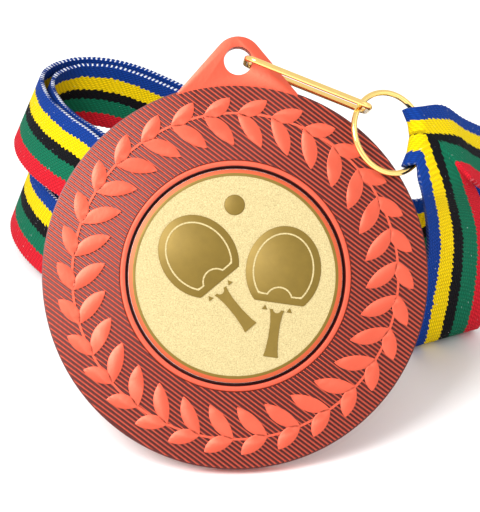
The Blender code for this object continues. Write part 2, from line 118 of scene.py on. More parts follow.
LOWER_STRAND = (
    ((25.36, 16.4, 28.3), (-0.72, -0.60, 0.33)),
    ((26.75, 20.0, 23.2), (-0.76, -0.61, 0.21)),
    ((27.75, 22.4, 18.0), (-0.82, -0.56, 0.10)),
    ((28.00, 24.6, 12.3), (-0.88, -0.47, 0.07)),
    ((27.80, 26.2, 7.3), (-0.91, -0.41, 0.06)),
    ((27.40, 27.5, 3.1), (-0.90, -0.43, 0.03)),
    ((27.00, 29.5, 0.8), (-0.89, -0.46, 0.00)),
    ((25.90, 32.8, 0.6), (-0.87, -0.49, 0.00)),
    ((24.20, 36.6, 0.9), (-0.84, -0.55, 0.02)),
    ((20.60, 41.0, 2.7), (-0.60, -0.68, 0.36)),
    ((16.20, 45.9, 4.9), (-0.15, -0.45, 0.85)),
)
UPPER_STRAND = (
    ((26.9, 20.5, 31.7), (-0.34, 0.62, 0.71)),
    ((29.0, 22.6, 29.4), (-0.14, 0.85, 0.50)),
    ((32.5, 26.5, 26.2), (-0.06, 0.90, 0.44)),
    ((36.0, 32.0, 21.4), (0.03, 0.66, 0.74)),
    ((37.6, 38.8, 15.0), (0.15, 0.67, 0.73)),
    ((35.4, 45.0, 9.5), (-0.30, 0.43, 0.85)),
    ((29.3, 48.8, 6.1), (-0.28, 0.04, 0.96)),
    ((21.6, 49.3, 5.3), (-0.05, 0.01, 1.00)),
)
COIL = (
    ((11.2, 52.0), 0.0, 0), ((5.0, 58.6), 0.0, 0), ((-2.5, 65.0), 0.0, 2),
    ((-10.5, 70.4), 0.0, 6), ((-16.8, 71.6), 0.3, 12), ((-21.8, 69.6), 0.8, 17),
    ((-24.5, 65.0), 1.2, 20), ((-24.9, 59.6), 1.4, 20), ((-23.7, 54.2), 1.2, 19),
    ((-21.2, 49.0), 0.8, 17), ((-17.6, 43.8), 0.3, 13), ((-14.0, 37.4), 0.0, 8),
    ((-11.0, 30.0), 0.0, 2), ((-8.6, 22.8), 0.0, 0), ((-4.6, 16.8), 0.0, 0),
    ((1.0, 14.6), 0.0, 0), ((7.0, 14.9), 0.1, 0), ((12.6, 18.0), 0.7, 0),
    ((15.8, 24.6), 1.9, 0), ((16.2, 32.6), 3.5, 0), ((13.8, 40.8), 5.4, 0),
    ((9.2, 48.4), 7.3, 0), ((3.2, 55.6), 9.2, 0), ((-3.4, 62.0), 10.6, 0),
    ((-10.4, 68.6), 11.5, 6), ((-16.0, 70.6), 12.1, 12), ((-20.6, 69.0), 12.7, 19),
    ((-23.5, 64.6), 13.2, 22), ((-23.8, 59.4), 13.4, 22), ((-22.5, 54.2), 13.3, 21),
    ((-20.0, 49.2), 13.1, 19), ((-16.5, 44.2), 12.8, 14), ((-13.0, 37.8), 12.2, 9),
    ((-10.2, 30.4), 11.7, 4), ((-7.8, 23.2), 11.3, 1), ((-3.8, 17.0), 10.8, 0),
    ((1.4, 14.6), 10.8, 0), ((6.4, 15.4), 10.8, 0), ((10.0, 19.6), 10.8, 0),
    ((11.4, 26.6), 10.8, 0), ((10.2, 34.0), 10.8, 0), ((6.2, 41.0), 10.8, 0),
)


def strand_edges(strand):
    """Blue and red edge points of a free strand, from the rim's foot."""
    edges = []
    for centre, blue_way in strand:
        middle = rim_foot + Vector(centre) * MM
        way = Vector(blue_way).normalized() * TAPE_WIDTH / 2
        edges.append((middle + way, middle - way))
    return edges


def coil_edges(offset):
    """Blue and red edge points of one layer of the coil, off the doubled tape's centre."""
    upright = Vector((0, 0, 1))
    plan = [rim_foot + Vector((x, y, 0)) * MM for (x, y), _, _ in COIL]
    edges = []
    for index, (_, height, flare) in enumerate(COIL):
        ahead = (plan[min(index + 1, len(COIL) - 1)] - plan[max(index - 1, 0)]).normalized()
        outward = ahead.cross(upright)
        tilt = math.radians(flare)
        way = (math.cos(tilt) * upright - math.sin(tilt) * outward) * TAPE_WIDTH / 2
        face = math.cos(tilt) * outward + math.sin(tilt) * upright
        rise = math.cos(tilt) * TAPE_WIDTH / 2 + math.sin(tilt) * (LAYER_OFFSET + TAPE_THICKNESS / 2)
        centre = plan[index] + (height * MM + rise + FLOOR_LIFT) * upright + offset * face
        edges.append((centre + way, centre - way))
    return edges


def across_tape(points, shares):
    """A row through points that stand at the given shares of the width, at the tape's own columns."""
    places = np.array([tuple(point) for point in points])
    return np.stack([np.interp(SHARES, shares, places[:, axis]) for axis in range(3)], axis=1)


def mitre_row(fold):
    """The row where a strand meets the other one, from its blue edge on the fold to the crotch."""
    points = []
    for index, (across, upward) in enumerate(fold + MITRE):
        inset = FOLD_RADIUS if index < 3 else 0
        points.append(ring_place @ Vector((across * MM + inset, upward * MM, FOLD_RADIUS)))
    return across_tape(points, MITRE_SHARES)


def smooth_rows(rows, parts):
    """Rows on the smooth curve through each column of points, each step cut into parts."""
    rows = np.array(rows)
    ends = np.concatenate([[2 * rows[0] - rows[1]], rows, [2 * rows[-1] - rows[-2]]])
    made = []
    for before, start, end, after in zip(ends, ends[1:], ends[2:], ends[3:]):
        for part in range(parts):
            t = part / parts
            made.append(0.5 * (
                2 * start + (end - before) * t + (2 * before - 5 * start + 4 * end - after) * t ** 2
                + (3 * start - before - 3 * end + after) * t ** 3))
    return np.array(made + [rows[-1]])


def run_along(rows):
    """How far along the tape each point lies, column by column."""
    steps = np.linalg.norm(np.diff(rows, axis=0), axis=2)
    return np.concatenate([np.zeros((1, rows.shape[1])), np.cumsum(steps, axis=0)])


def even_rows(rows):
    """The same surface with its rows a weft pick apart."""
    run = run_along(rows).mean(axis=1)
    places = np.linspace(0, run[-1], round(run[-1] / ROW_PITCH) + 1)
    flat = rows.reshape(len(rows), -1)
    made = np.stack([np.interp(places, run, flat[:, column]) for column in range(flat.shape[1])], axis=1)
    return made.reshape(len(places), -1, 3)


def half_tape(fold, strand, offset):
    """One layer of the tape, from its mitre down its strand and round the coil to the neck."""
    keys = [mitre_row(fold)]
    keys += [across_tape(edge, (0.0, 1.0)) for edge in strand_edges(strand) + coil_edges(offset)]
    return even_rows(smooth_rows(keys, 12))


def neck_turn(inner, outer, steps=8):
    """The tight turn at the neck, from the end of one layer round to the end of the other."""
    middle = (inner[-1] + outer[-1]) / 2
    side = inner[-1] - middle
    ahead = inner[-1] - inner[-2]
    ahead *= np.linalg.norm(side, axis=1, keepdims=True) / np.linalg.norm(ahead, axis=1, keepdims=True)
    angles = [math.pi * step / steps for step in range(1, steps)]
    return np.array([middle + math.cos(angle) * side + math.sin(angle) * ahead for angle in angles])


def fold_rows(edge, steps=10):
    """The fold's turn round the ring's wire and the flap behind it, from the edge that both strands share."""
    inverse = ring_place.inverted()
    local = [inverse @ Vector(point) for point in edge]
    rows = []
    for step in range(1, steps + 1):
        angle = math.pi * step / steps
        shift = Vector((-math.sin(angle), 0, math.cos(angle) - 1)) * FOLD_RADIUS
        rows.append([tuple(ring_place @ (point + shift)) for point in local])
    for across, off, share in FLAP:
        rows.append([tuple(ring_place @ Vector((across * MM, share * point.y, off * MM))) for point in local])
    return np.array(rows)


def add_strip(cage, uv, rows, across, along):
    """Faces between rows of points, with the tape's own coordinates as their UV."""
    grid = [[cage.verts.new(point) for point in row] for row in rows]
    for step in range(len(grid) - 1):
        for column in range(len(across) - 1):
            corners = ((step, column), (step, column + 1), (step + 1, column + 1), (step + 1, column))
            face = cage.faces.new([grid[row][place] for row, place in corners])
            face.smooth = True
            for loop, (row, place) in zip(face.loops, corners):
                loop[uv].uv = (across[place], along[row][place] / TAPE_WIDTH)


lower = half_tape(LOWER_FOLD, LOWER_STRAND, -LAYER_OFFSET)
upper = half_tape(UPPER_FOLD, UPPER_STRAND, LAYER_OFFSET)
tape = np.concatenate([lower, neck_turn(lower, upper), upper[::-1]])
tape_run = run_along(tape)
middle_row = len(lower)
tape_run -= tape_run[middle_row]
outward_bump = (tape[:, 0] - tape[:, 2]) / np.linalg.norm(tape[:, 0] - tape[:, 2], axis=1, keepdims=True)
pick_side = np.where(np.arange(len(tape)) % 2, 1.0, -1.0)[:, None] * SELVEDGE_BUMP
pick_side[:SEWN_ROWS] = pick_side[-SEWN_ROWS:] = 0
for column, way in SELVEDGE_WAYS.items():
    tape[:, column] += way * pick_side * outward_bump
ribbon_cage = bmesh.new()
tape_uv = ribbon_cage.loops.layers.uv.new("tape")
add_strip(ribbon_cage, tape_uv, tape, SHARES, tape_run)
shared = SHARES.index(MITRE_SHARES[2]) + 1
seam_edge = np.concatenate([tape[0, :shared], tape[-1, :shared - 1][::-1]])
seam_across = SHARES[:shared] + SHARES[:shared - 1][::-1]
fold = np.concatenate([[seam_edge], fold_rows(seam_edge)])
fold_start = np.concatenate([tape_run[0, :shared], -tape_run[-1, :shared - 1][::-1]])
add_strip(ribbon_cage, tape_uv, fold, seam_across, fold_start - run_along(fold))
bmesh.ops.remove_doubles(ribbon_cage, verts=ribbon_cage.verts, dist=0.002 * MM)
bmesh.ops.recalc_face_normals(ribbon_cage, faces=ribbon_cage.faces)
ribbon_mesh = bpy.data.meshes.new("striped_ribbon")
ribbon_cage.to_mesh(ribbon_mesh)
ribbon_cage.free()
striped_ribbon = bpy.data.objects.new("striped_ribbon", ribbon_mesh)
bpy.context.scene.collection.objects.link(striped_ribbon)
thickness = striped_ribbon.modifiers.new("thickness", "SOLIDIFY")
thickness.thickness = TAPE_THICKNESS
thickness.offset = 0


def new_material(name, roughness, metallic):
    """A material, its node tree and its Principled shader."""
    material = bpy.data.materials.new(name)
    material.use_nodes = True
    tree = material.node_tree
    shader = tree.nodes["Principled BSDF"]
    shader.inputs["Roughness"].default_value = roughness
    shader.inputs["Metallic"].default_value = metallic
    return material, tree, shader


def node(tree, kind, **settings):
    """A node of that kind, with its own settings and with the values or links of its inputs."""
    made = tree.nodes.new(kind)
    inputs = settings.pop("inputs", {})
    for name, value in settings.items():
        setattr(made, name, value)
    for name, value in inputs.items():
        if isinstance(value, bpy.types.NodeSocket):
            tree.links.new(value, made.inputs[name])
        else:
            made.inputs[name].default_value = value
    return made


def math_node(tree, operation, *values):
    """The result of a Math node."""
    made = node(tree, "ShaderNodeMath", operation=operation, inputs=dict(enumerate(values)))
    return made.outputs[0]


def mix_color(tree, factor, first, second, blend="MIX"):
    """The result of a colour Mix node."""
    made = tree.nodes.new("ShaderNodeMix")
    made.data_type = "RGBA"
    made.blend_type = blend
    for socket, value in ((made.inputs[0], factor), (made.inputs[6], first), (made.inputs[7], second)):
        if isinstance(value, bpy.types.NodeSocket):
            tree.links.new(value, socket)
        else:
            socket.default_value = value
    return made.outputs[2]


# Weave of the ribbon: both periods are shares of the tape's width, and the warp's ends are counted across it.
PICK_PERIOD = 0.065
WAVE_PERIOD = 0.085
WARP_ENDS = 36.0
STRIPE_COLORS = (
    (0.004, 0.045, 0.290, 1), (0.960, 0.690, 0.000, 1), (0.004, 0.004, 0.006, 1), (0.004, 0.160, 0.080, 1),
    (0.680, 0.012, 0.026, 1))
woven, tree, shader = new_material("woven_tape", 0.88, 0.0)
tape_place = node(tree, "ShaderNodeUVMap", uv_map="tape")
parted = node(tree, "ShaderNodeSeparateXYZ", inputs={0: tape_place.outputs[0]})
across_u, along_v = parted.outputs[0], parted.outputs[1]
picks = math_node(tree, "DIVIDE", along_v, PICK_PERIOD)
ends = math_node(tree, "MULTIPLY", across_u, WARP_ENDS)
odd_end = math_node(tree, "MODULO", math_node(tree, "FLOOR", ends), 2.0)
float_v = math_node(tree, "FRACT", math_node(tree, "ADD", picks, math_node(tree, "MULTIPLY", odd_end, 0.5)))
float_u = math_node(tree, "FRACT", ends)
yarn = math_node(
    tree, "MULTIPLY", math_node(tree, "SINE", math_node(tree, "MULTIPLY", float_v, math.pi)),
    math_node(tree, "POWER", math_node(tree, "SINE", math_node(tree, "MULTIPLY", float_u, math.pi)), 0.6))
wave = math_node(tree, "SINE", math_node(tree, "MULTIPLY", along_v, math.tau / WAVE_PERIOD))
drift = node(tree, "ShaderNodeTexNoise", inputs={
    "Vector": tape_place.outputs[0], "Scale": 9.0, "Detail": 3.0})
drift_shift = math_node(tree, "MULTIPLY", math_node(tree, "SUBTRACT", drift.outputs[0], 0.5), 0.06)
wave_shift = math_node(tree, "MULTIPLY", wave, 0.010)
border = math_node(tree, "ADD", across_u, math_node(tree, "ADD", wave_shift, drift_shift))
stripes = node(tree, "ShaderNodeValToRGB", inputs={0: border})
stripes.color_ramp.interpolation = "CONSTANT"
for index, (start, color) in enumerate(zip(STRIPE_STARTS, STRIPE_COLORS)):
    if index > 1:
        stripes.color_ramp.elements.new(start)
    stripes.color_ramp.elements[index].position = start
    stripes.color_ramp.elements[index].color = color
# Painted shade and highlight: the stripe colours are darkened between the yarns, where shade falls, and lifted a
# little on their crowns.
shade = node(tree, "ShaderNodeMapRange", inputs={0: yarn, 3: 0.62, 4: 1.06})
shade_color = node(tree, "ShaderNodeCombineColor", inputs={i: shade.outputs[0] for i in range(3)})
dyed_and_weave_shaded = mix_color(tree, 1.0, stripes.outputs[0], shade_color.outputs[0], "MULTIPLY")
edge_distance = math_node(tree, "MINIMUM", across_u, math_node(tree, "SUBTRACT", 1.0, across_u))
near_edge = math_node(tree, "LESS_THAN", edge_distance, 0.006)
pick_spot = math_node(tree, "LESS_THAN", math_node(tree, "FRACT", picks), 0.34)
blue_side = math_node(tree, "LESS_THAN", across_u, 0.5)
pick_share = node(tree, "ShaderNodeMapRange", inputs={0: blue_side, 3: 0.5, 4: 0.8})
from_sewn_end = node(tree, "ShaderNodeMapRange", inputs={
    0: math_node(tree, "ABSOLUTE", along_v), 1: 31.5, 2: 28.5, 3: 0.15, 4: 1.0})
pick_white = math_node(tree, "MULTIPLY", pick_share.outputs[0], from_sewn_end.outputs[0])
selvedge = math_node(tree, "MULTIPLY", math_node(tree, "MULTIPLY", near_edge, pick_spot), pick_white)
specks = node(tree, "ShaderNodeTexNoise", inputs={
    "Vector": tape_place.outputs[0], "Scale": 26.0, "Detail": 1.0})
speck = math_node(tree, "MULTIPLY", math_node(tree, "GREATER_THAN", specks.outputs[0], 0.76), 0.4)
white_share = math_node(tree, "MAXIMUM", selvedge, speck)
tape_color = mix_color(tree, white_share, dyed_and_weave_shaded, (0.80, 0.82, 0.86, 1))
tree.links.new(tape_color, shader.inputs["Base Color"])
weave_bump = node(tree, "ShaderNodeBump", inputs={"Height": yarn, "Distance": 0.00012, "Strength": 0.8})
tree.links.new(weave_bump.outputs[0], shader.inputs["Normal"])
shader.inputs["Specular IOR Level"].default_value = 0.12
ribbon_mesh.materials.append(woven)
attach(striped_ribbon, "ribbon")
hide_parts("ribbon")


# Casting. Zinc alloy, die-cast in one piece with its tab, bead and seat, plated and lacquered a red bronze,
# with a dark patina left in its low ground.
FACE = DISC_THICKNESS / 2
GROUND = FACE - 0.3 * MM
SEAT_FLOOR = FACE - 1.1 * MM
GROUND_INNER = 13.55 * MM
BEAD_OUTER = 13.4 * MM
BEAD_INNER = 12.9 * MM
SEAT_RADIUS = 12.65 * MM
DISC_SIDES = 192


def activate(piece):
    """Makes the piece the active object and the only one selected."""
    bpy.ops.object.select_all(action="DESELECT")
    piece.select_set(True)
    bpy.context.view_layer.objects.active = piece


def start_edit(piece):
    """Opens the piece in edit mode with nothing selected."""
    activate(piece)
    bpy.ops.object.mode_set(mode="EDIT")
    bpy.ops.mesh.select_mode(type="FACE")
    bpy.ops.mesh.select_all(action="DESELECT")


def choose(piece, test):
    """Selects the faces whose centre and normal pass the test, and no others."""
    cage = bmesh.from_edit_mesh(piece.data)
    for face in cage.faces:
        face.select_set(test(face.calc_center_median(), face.normal))
    bmesh.update_edit_mesh(piece.data)


def raise_inset(inset, rise):
    """Insets the chosen face and moves what is inside it up or down."""
    bpy.ops.mesh.inset(thickness=inset, use_even_offset=True)
    bpy.ops.transform.translate(value=(0, 0, rise))


def apply_modifiers(piece):
    """Applies the piece's modifiers in their order."""
    activate(piece)
    for modifier in list(piece.modifiers):
        bpy.ops.object.modifier_apply(modifier=modifier.name)


def apply_bevel(piece, width, segments, angle=40):
    """Rounds the piece's sharp edges."""
    bevel = piece.modifiers.new("rounded_edges", "BEVEL")
    bevel.width = width
    bevel.segments = segments
    bevel.limit_method = "ANGLE"
    bevel.angle_limit = math.radians(angle)
    bevel.harden_normals = False
    apply_modifiers(piece)


def apply_boolean(piece, other, operation):
    """Cuts, joins or keeps what the two pieces share, and removes the other one."""
    boolean = piece.modifiers.new(operation.lower(), "BOOLEAN")
    boolean.operation = operation
    boolean.object = other
    boolean.solver = "EXACT"
    apply_modifiers(piece)
    bpy.data.objects.remove(other)


def join_parts(parts):
    """Makes one object of several."""
    activate(parts[0])
    for part in parts:
        part.select_set(True)
    bpy.ops.object.join()
    return parts[0]


def finish_piece(piece, name, place, material, body, angle=35):
    """Names the finished piece, puts its place into its mesh, and gives it its finish and its body."""
    piece.name = name
    piece.data.name = name
    piece.data.transform(place @ piece.matrix_world)
    piece.matrix_world = Matrix.Identity(4)
    activate(piece)
    bpy.ops.object.shade_smooth_by_angle(angle=math.radians(angle))
    piece.data.materials.clear()
    piece.data.materials.append(material)
    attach(piece, body)


def add_cylinder(radius, low, high, sides, centre=(0.0, 0.0)):
    """A round plate between two heights over the medal's mid plane."""
    bpy.ops.mesh.primitive_cylinder_add(
        vertices=sides, radius=radius, depth=high - low, location=(*centre, (low + high) / 2))
    piece = bpy.context.object
    bpy.ops.object.transform_apply(location=True)
    return piece


def is_top(_, normal):
    """Whether a face looks out of the medal's front."""
    return normal.z > 0.9


casting = add_cylinder(DISC_RADIUS, -FACE, GROUND, DISC_SIDES)
start_edit(casting)
choose(casting, is_top)
bpy.ops.mesh.inset(thickness=DISC_RADIUS - GROUND_INNER)
raise_inset(GROUND_INNER - BEAD_OUTER, FACE - GROUND)
bpy.ops.mesh.inset(thickness=BEAD_OUTER - BEAD_INNER)
raise_inset(BEAD_INNER - SEAT_RADIUS, SEAT_FLOOR - FACE)
bpy.ops.object.mode_set(mode="OBJECT")

# Tab of the casting: a lug round the hanging hole, the hull of its rounded head and its foot.
HOLE_RADIUS = 1.67 * MM
TAB_WALL = 1.2 * MM
TAB_FOOT_HALF_WIDTH = 7.0 * MM
TAB_FOOT_DEPTH = 1.2 * MM
TAB_FACE = FACE - 0.15 * MM
tab = add_cylinder(HOLE_RADIUS + TAB_WALL, -FACE, TAB_FACE, 64, (0.0, HOLE_HEIGHT))
foot_height = math.sqrt(DISC_RADIUS ** 2 - TAB_FOOT_HALF_WIDTH ** 2)
bpy.ops.mesh.primitive_cube_add(
    size=1.0, location=(0, foot_height - TAB_FOOT_DEPTH / 2, (TAB_FACE - FACE) / 2))
tab_foot = bpy.context.object
tab_foot.scale = (2 * TAB_FOOT_HALF_WIDTH, TAB_FOOT_DEPTH, TAB_FACE + FACE)
bpy.ops.object.transform_apply(scale=True, location=True)
join_parts([tab, tab_foot])
start_edit(tab)
bpy.ops.mesh.select_all(action="SELECT")
bpy.ops.mesh.convex_hull()
bpy.ops.object.mode_set(mode="OBJECT")
over_disc = add_cylinder(DISC_RADIUS - 0.3 * MM, GROUND - 0.02 * MM, 3 * FACE, DISC_SIDES)
apply_boolean(tab, over_disc, "DIFFERENCE")
apply_boolean(casting, tab, "UNION")
apply_boolean(casting, add_cylinder(HOLE_RADIUS, -3 * FACE, 3 * FACE, 64, (0.0, HOLE_HEIGHT)), "DIFFERENCE")
apply_bevel(casting, 0.14 * MM, 3)


# Relief ground: fine straight ridges cut into the die, which run under the wreath from the bead to the rim.
HATCH_PITCH = 0.457 * MM
HATCH_WIDTH = 0.30 * MM
HATCH_TOP = FACE - 0.09 * MM
HATCH_HEADING = math.radians(-36.3)
bpy.ops.mesh.primitive_cube_add(size=1.0)
ridges = bpy.context.object
ridges.scale = (2.1 * DISC_RADIUS, HATCH_WIDTH, HATCH_TOP - GROUND + 0.1 * MM)
bpy.ops.object.transform_apply(scale=True)
start_edit(ridges)
choose(ridges, is_top)
bpy.ops.transform.resize(value=(1.0, 0.3, 1.0))
bpy.ops.object.mode_set(mode="OBJECT")
ridge_count = 2 * math.ceil(DISC_RADIUS / HATCH_PITCH) + 1
rank = ridges.modifiers.new("rank", "ARRAY")
rank.use_relative_offset = False
rank.use_constant_offset = True
rank.constant_offset_displace = (0, HATCH_PITCH, 0)
rank.count = ridge_count
apply_modifiers(ridges)
ridges.data.transform(Matrix.Translation(
    (0, -HATCH_PITCH * (ridge_count - 1) / 2, (HATCH_TOP + GROUND - 0.1 * MM) / 2)))
ridges.data.transform(Matrix.Rotation(HATCH_HEADING, 4, "Z"))
ground_band = add_cylinder(DISC_RADIUS - 0.14 * MM, GROUND - 0.04 * MM, 2 * FACE, DISC_SIDES)
apply_boolean(ground_band, add_cylinder(GROUND_INNER, -FACE, 3 * FACE, DISC_SIDES), "DIFFERENCE")
apply_boolean(ridges, ground_band, "INTERSECT")


# Wreath: thirty pairs of leaves on a thin stem, all pointing clockwise, raised in the same casting.
LEAF_PAIRS = 30
STEM_RADIUS = 19.0 * MM
STEM_HALF_WIDTH = 0.14 * MM
LEAF_FOOT = GROUND - 0.05 * MM
FIRST_PAIR = math.radians(102.0)
LEAVES = ((4.9 * MM, -55.0, 1.15 * MM, 0.62 * MM), (3.75 * MM, 24.0, 0.62 * MM, 1.1 * MM))


def make_leaf(length, left_bulge, right_bulge):
    """A pointed leaf from the origin along X: what two round plates share."""
    plates = []
    for bulge, side in ((left_bulge, -1), (right_bulge, 1)):
        radius = (length ** 2 / 4 + bulge ** 2) / (2 * bulge)
        plates.append(add_cylinder(radius, LEAF_FOOT, FACE, 96, (length / 2, side * (radius - bulge))))
    apply_boolean(plates[0], plates[1], "INTERSECT")
    apply_bevel(plates[0], 0.11 * MM, 2, 50)
    return plates[0]


leaves = []
for length, turn, left_bulge, right_bulge in LEAVES:
    leaf = make_leaf(length, left_bulge, right_bulge)
    for pair in range(LEAF_PAIRS):
        angle = FIRST_PAIR - math.tau * pair / LEAF_PAIRS
        copy = leaf.copy()
        copy.data = leaf.data.copy()
        bpy.context.scene.collection.objects.link(copy)
        base = STEM_RADIUS * Vector((math.cos(angle), math.sin(angle), 0))
        heading = Matrix.Rotation(angle - math.pi / 2 + math.radians(turn), 4, "Z")
        copy.data.transform(Matrix.Translation(base) @ heading)
        leaves.append(copy)
    bpy.data.objects.remove(leaf)
stem = add_cylinder(STEM_RADIUS + STEM_HALF_WIDTH, LEAF_FOOT, FACE - 0.06 * MM, DISC_SIDES)
apply_boolean(stem, add_cylinder(STEM_RADIUS - STEM_HALF_WIDTH, -FACE, 3 * FACE, DISC_SIDES), "DIFFERENCE")
wreath = join_parts([stem, *leaves])


# Finish of the casting: satin red bronze lacquer, dark where it lies low, with a fine grain from the plating.
grain_group = bpy.data.node_groups.new("metal_grain", "ShaderNodeTree")
grain_group.interface.new_socket(name="Scale", in_out="INPUT", socket_type="NodeSocketFloat")
grain_group.interface.new_socket(name="Depth", in_out="INPUT", socket_type="NodeSocketFloat")
grain_group.interface.new_socket(name="Mask", in_out="OUTPUT", socket_type="NodeSocketFloat")
grain_group.interface.new_socket(name="Normal", in_out="OUTPUT", socket_type="NodeSocketVector")
grain_in = grain_group.nodes.new("NodeGroupInput")
grain_out = grain_group.nodes.new("NodeGroupOutput")
grain_place = node(grain_group, "ShaderNodeTexCoord")
grain_noise = node(grain_group, "ShaderNodeTexNoise", inputs={
    "Vector": grain_place.outputs["Object"], "Scale": grain_in.outputs["Scale"], "Detail": 4.0,
    "Roughness": 0.6})
grain_bump = node(grain_group, "ShaderNodeBump", inputs={
    "Height": grain_noise.outputs[0], "Strength": 1.0, "Distance": grain_in.outputs["Depth"]})
grain_group.links.new(grain_noise.outputs[0], grain_out.inputs["Mask"])
grain_group.links.new(grain_bump.outputs[0], grain_out.inputs["Normal"])


def grain(tree, scale, depth):
    """The shared metal grain, at its own scale and depth."""
    return node(tree, "ShaderNodeGroup", node_tree=grain_group, inputs={"Scale": scale, "Depth": depth})


def height_over_disc(tree):
    """How far a point lies out of the medal's mid plane, in metres."""
    place = node(tree, "ShaderNodeTexCoord")
    across = node(tree, "ShaderNodeVectorMath", operation="DOT_PRODUCT", inputs={
        0: place.outputs["Object"], 1: tuple(medal_out)})
    return math_node(tree, "SUBTRACT", across.outputs["Value"], medal_centre.dot(medal_out))


def distance_from_centre(tree):
    """How far a point lies from the medal's centre, in metres."""
    place = node(tree, "ShaderNodeTexCoord")
    gap = node(tree, "ShaderNodeVectorMath", operation="DISTANCE", inputs={
        0: place.outputs["Object"], 1: tuple(medal_centre)})
    return gap.outputs["Value"]


BEAD_MIDDLE = 13.2 * MM
lacquer, tree, shader = new_material("bronze_lacquer", 0.42, 0.6)
shader.inputs["Coat Weight"].default_value = 0.35
shader.inputs["Coat Roughness"].default_value = 0.35
low_ground = node(tree, "ShaderNodeMapRange", inputs={
    0: height_over_disc(tree), 1: GROUND + 0.05 * MM, 2: GROUND + 0.14 * MM, 3: 1.0, 4: 0.0})
within_bead = math_node(tree, "LESS_THAN", distance_from_centre(tree), BEAD_MIDDLE)
in_front = math_node(tree, "GREATER_THAN", height_over_disc(tree), 0.0)
in_seat = math_node(tree, "MULTIPLY", within_bead, in_front)
near_face = math_node(tree, "GREATER_THAN", height_over_disc(tree), GROUND - 0.25 * MM)
on_face = math_node(tree, "MAXIMUM", in_seat, near_face)
patina_share = math_node(tree, "MULTIPLY", low_ground.outputs[0], on_face)
lacquer_grain = grain(tree, 2600.0, 0.00002)
patches = node(tree, "ShaderNodeTexNoise", inputs={"Scale": 120.0, "Detail": 3.0})
tree.links.new(node(tree, "ShaderNodeTexCoord").outputs["Object"], patches.inputs["Vector"])
warm = mix_color(tree, patches.outputs[0], (0.53, 0.064, 0.027, 1), (0.63, 0.086, 0.037, 1))
finish_color = mix_color(tree, patina_share, warm, (0.085, 0.009, 0.007, 1))
tree.links.new(finish_color, shader.inputs["Base Color"])
rough = node(tree, "ShaderNodeMapRange", inputs={0: lacquer_grain.outputs["Mask"], 3: 0.36, 4: 0.5})
tree.links.new(rough.outputs[0], shader.inputs["Roughness"])
tree.links.new(lacquer_grain.outputs["Normal"], shader.inputs["Normal"])
finish_piece(casting, "cast_medal", medal_place, lacquer, "medal")
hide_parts("medal_casting")
finish_piece(ridges, "relief_ground", medal_place, lacquer, "medal")
finish_piece(wreath, "laurel_wreath", medal_place, lacquer, "medal")


# Emblem: a gold foil face pressed over the plastic disc in the seat. Its field is grained, its two bats and
# its ball are raised and polished, painted dark for the dark surroundings they reflect, and its polished edge
# band slopes down, with the red reflection of the lacquer beside painted on the slope.
FOIL_FOOT = 0.90 * MM
FIELD = 0.98 * MM
BAND_TOP = 1.03 * MM
RELIEF_TOP = 1.10 * MM
FIELD_RADIUS = 11.9 * MM
BAND_BORE = 11.67 * MM
BAND_RADIUS = 12.46 * MM
BAND_SLOPE = 0.42 * MM
SLOPE_START = 12.05 * MM
foil = add_cylinder(FIELD_RADIUS, FOIL_FOOT, FIELD, DISC_SIDES)

gold_field, tree, shader = new_material("grained_gold_foil", 0.6, 0.5)
field_grain = grain(tree, 8000.0, 0.00004)
field_share = node(tree, "ShaderNodeMapRange", inputs={0: field_grain.outputs["Mask"], 1: 0.3, 2: 0.7})
field_color = mix_color(tree, field_share.outputs[0], (0.34, 0.265, 0.115, 1), (0.62, 0.51, 0.26, 1))
tree.links.new(field_color, shader.inputs["Base Color"])
tree.links.new(field_grain.outputs["Normal"], shader.inputs["Normal"])
finish_piece(foil, "embossed_foil", medal_place, gold_field, "medal")
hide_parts("emblem_foil")

polished, tree, shader = new_material("polished_gold_relief", 0.45, 0.45)
polish_grain = grain(tree, 900.0, 0.00001)
# Painted reflection: the polished gold and its edge band are painted a dark olive for the dark surroundings they
# reflect; the grain varies it a little.
painted_dark_polish_color = mix_color(
    tree, polish_grain.outputs["Mask"], (0.150, 0.094, 0.008, 1), (0.200, 0.126, 0.013, 1))
# Painted reflection: past SLOPE_START the band's slope is painted the red of the lacquer beside it, as its
# reflection.
painted_reflection_zone = math_node(tree, "GREATER_THAN", distance_from_centre(tree), SLOPE_START)
painted_red_reflection_color = mix_color(tree, painted_reflection_zone, painted_dark_polish_color, (0.52, 0.085, 0.025, 1))
tree.links.new(painted_red_reflection_color, shader.inputs["Base Color"])
tree.links.new(polish_grain.outputs["Normal"], shader.inputs["Normal"])

BLADE_HALF_WIDTH = 4.38 * MM
BLADE_HALF_LENGTH = 5.15 * MM
BLADE_MIDDLE = -0.25 * MM
BLADE_CUT = -4.15 * MM
OUTLINE_INSET = 0.8 * MM
OUTLINE_WIDTH = 0.18 * MM
NOTCH_RADIUS = 1.45 * MM
BLADE_CORNER = 0.6 * MM
HANDLE_END = -10.5 * MM
HANDLE_STEPS = ((0.45, 0.86), (1.6, 0.78), (1.7, 1.0), (1.1, 1.25), (0.5, 1.2))
BATS = (
    (Vector((-4.506, 2.381, 0)) * MM, -51.8, -0.6 * MM), (Vector((5.6, 1.0, 0)) * MM, -99.5, -0.1 * MM))
BALL_PLACE = Vector((-0.22, 8.26)) * MM
BALL_RADIUS = 1.2 * MM
WING_PLACE = Vector((1.45, -0.75)) * MM
WING_RADIUS = 0.36 * MM
RELIEF_FOOT = FIELD - 0.03 * MM


def choose_corners(plate, test):
    """Selects the corners of a plate that pass the test, in vertex mode."""
    start_edit(plate)
    bpy.ops.mesh.select_mode(type="VERT")
    cage = bmesh.from_edit_mesh(plate.data)
    for corner in cage.verts:
        corner.select_set(test(corner.co))
    cage.select_flush(True)
    bmesh.update_edit_mesh(plate.data)


def round_corners(plate, test, offset, segments):
    """Rounds the chosen corners of a flat plate."""
    choose_corners(plate, test)
    bpy.ops.mesh.bevel(offset=offset, segments=segments, affect="VERTICES")
    bpy.ops.object.mode_set(mode="OBJECT")


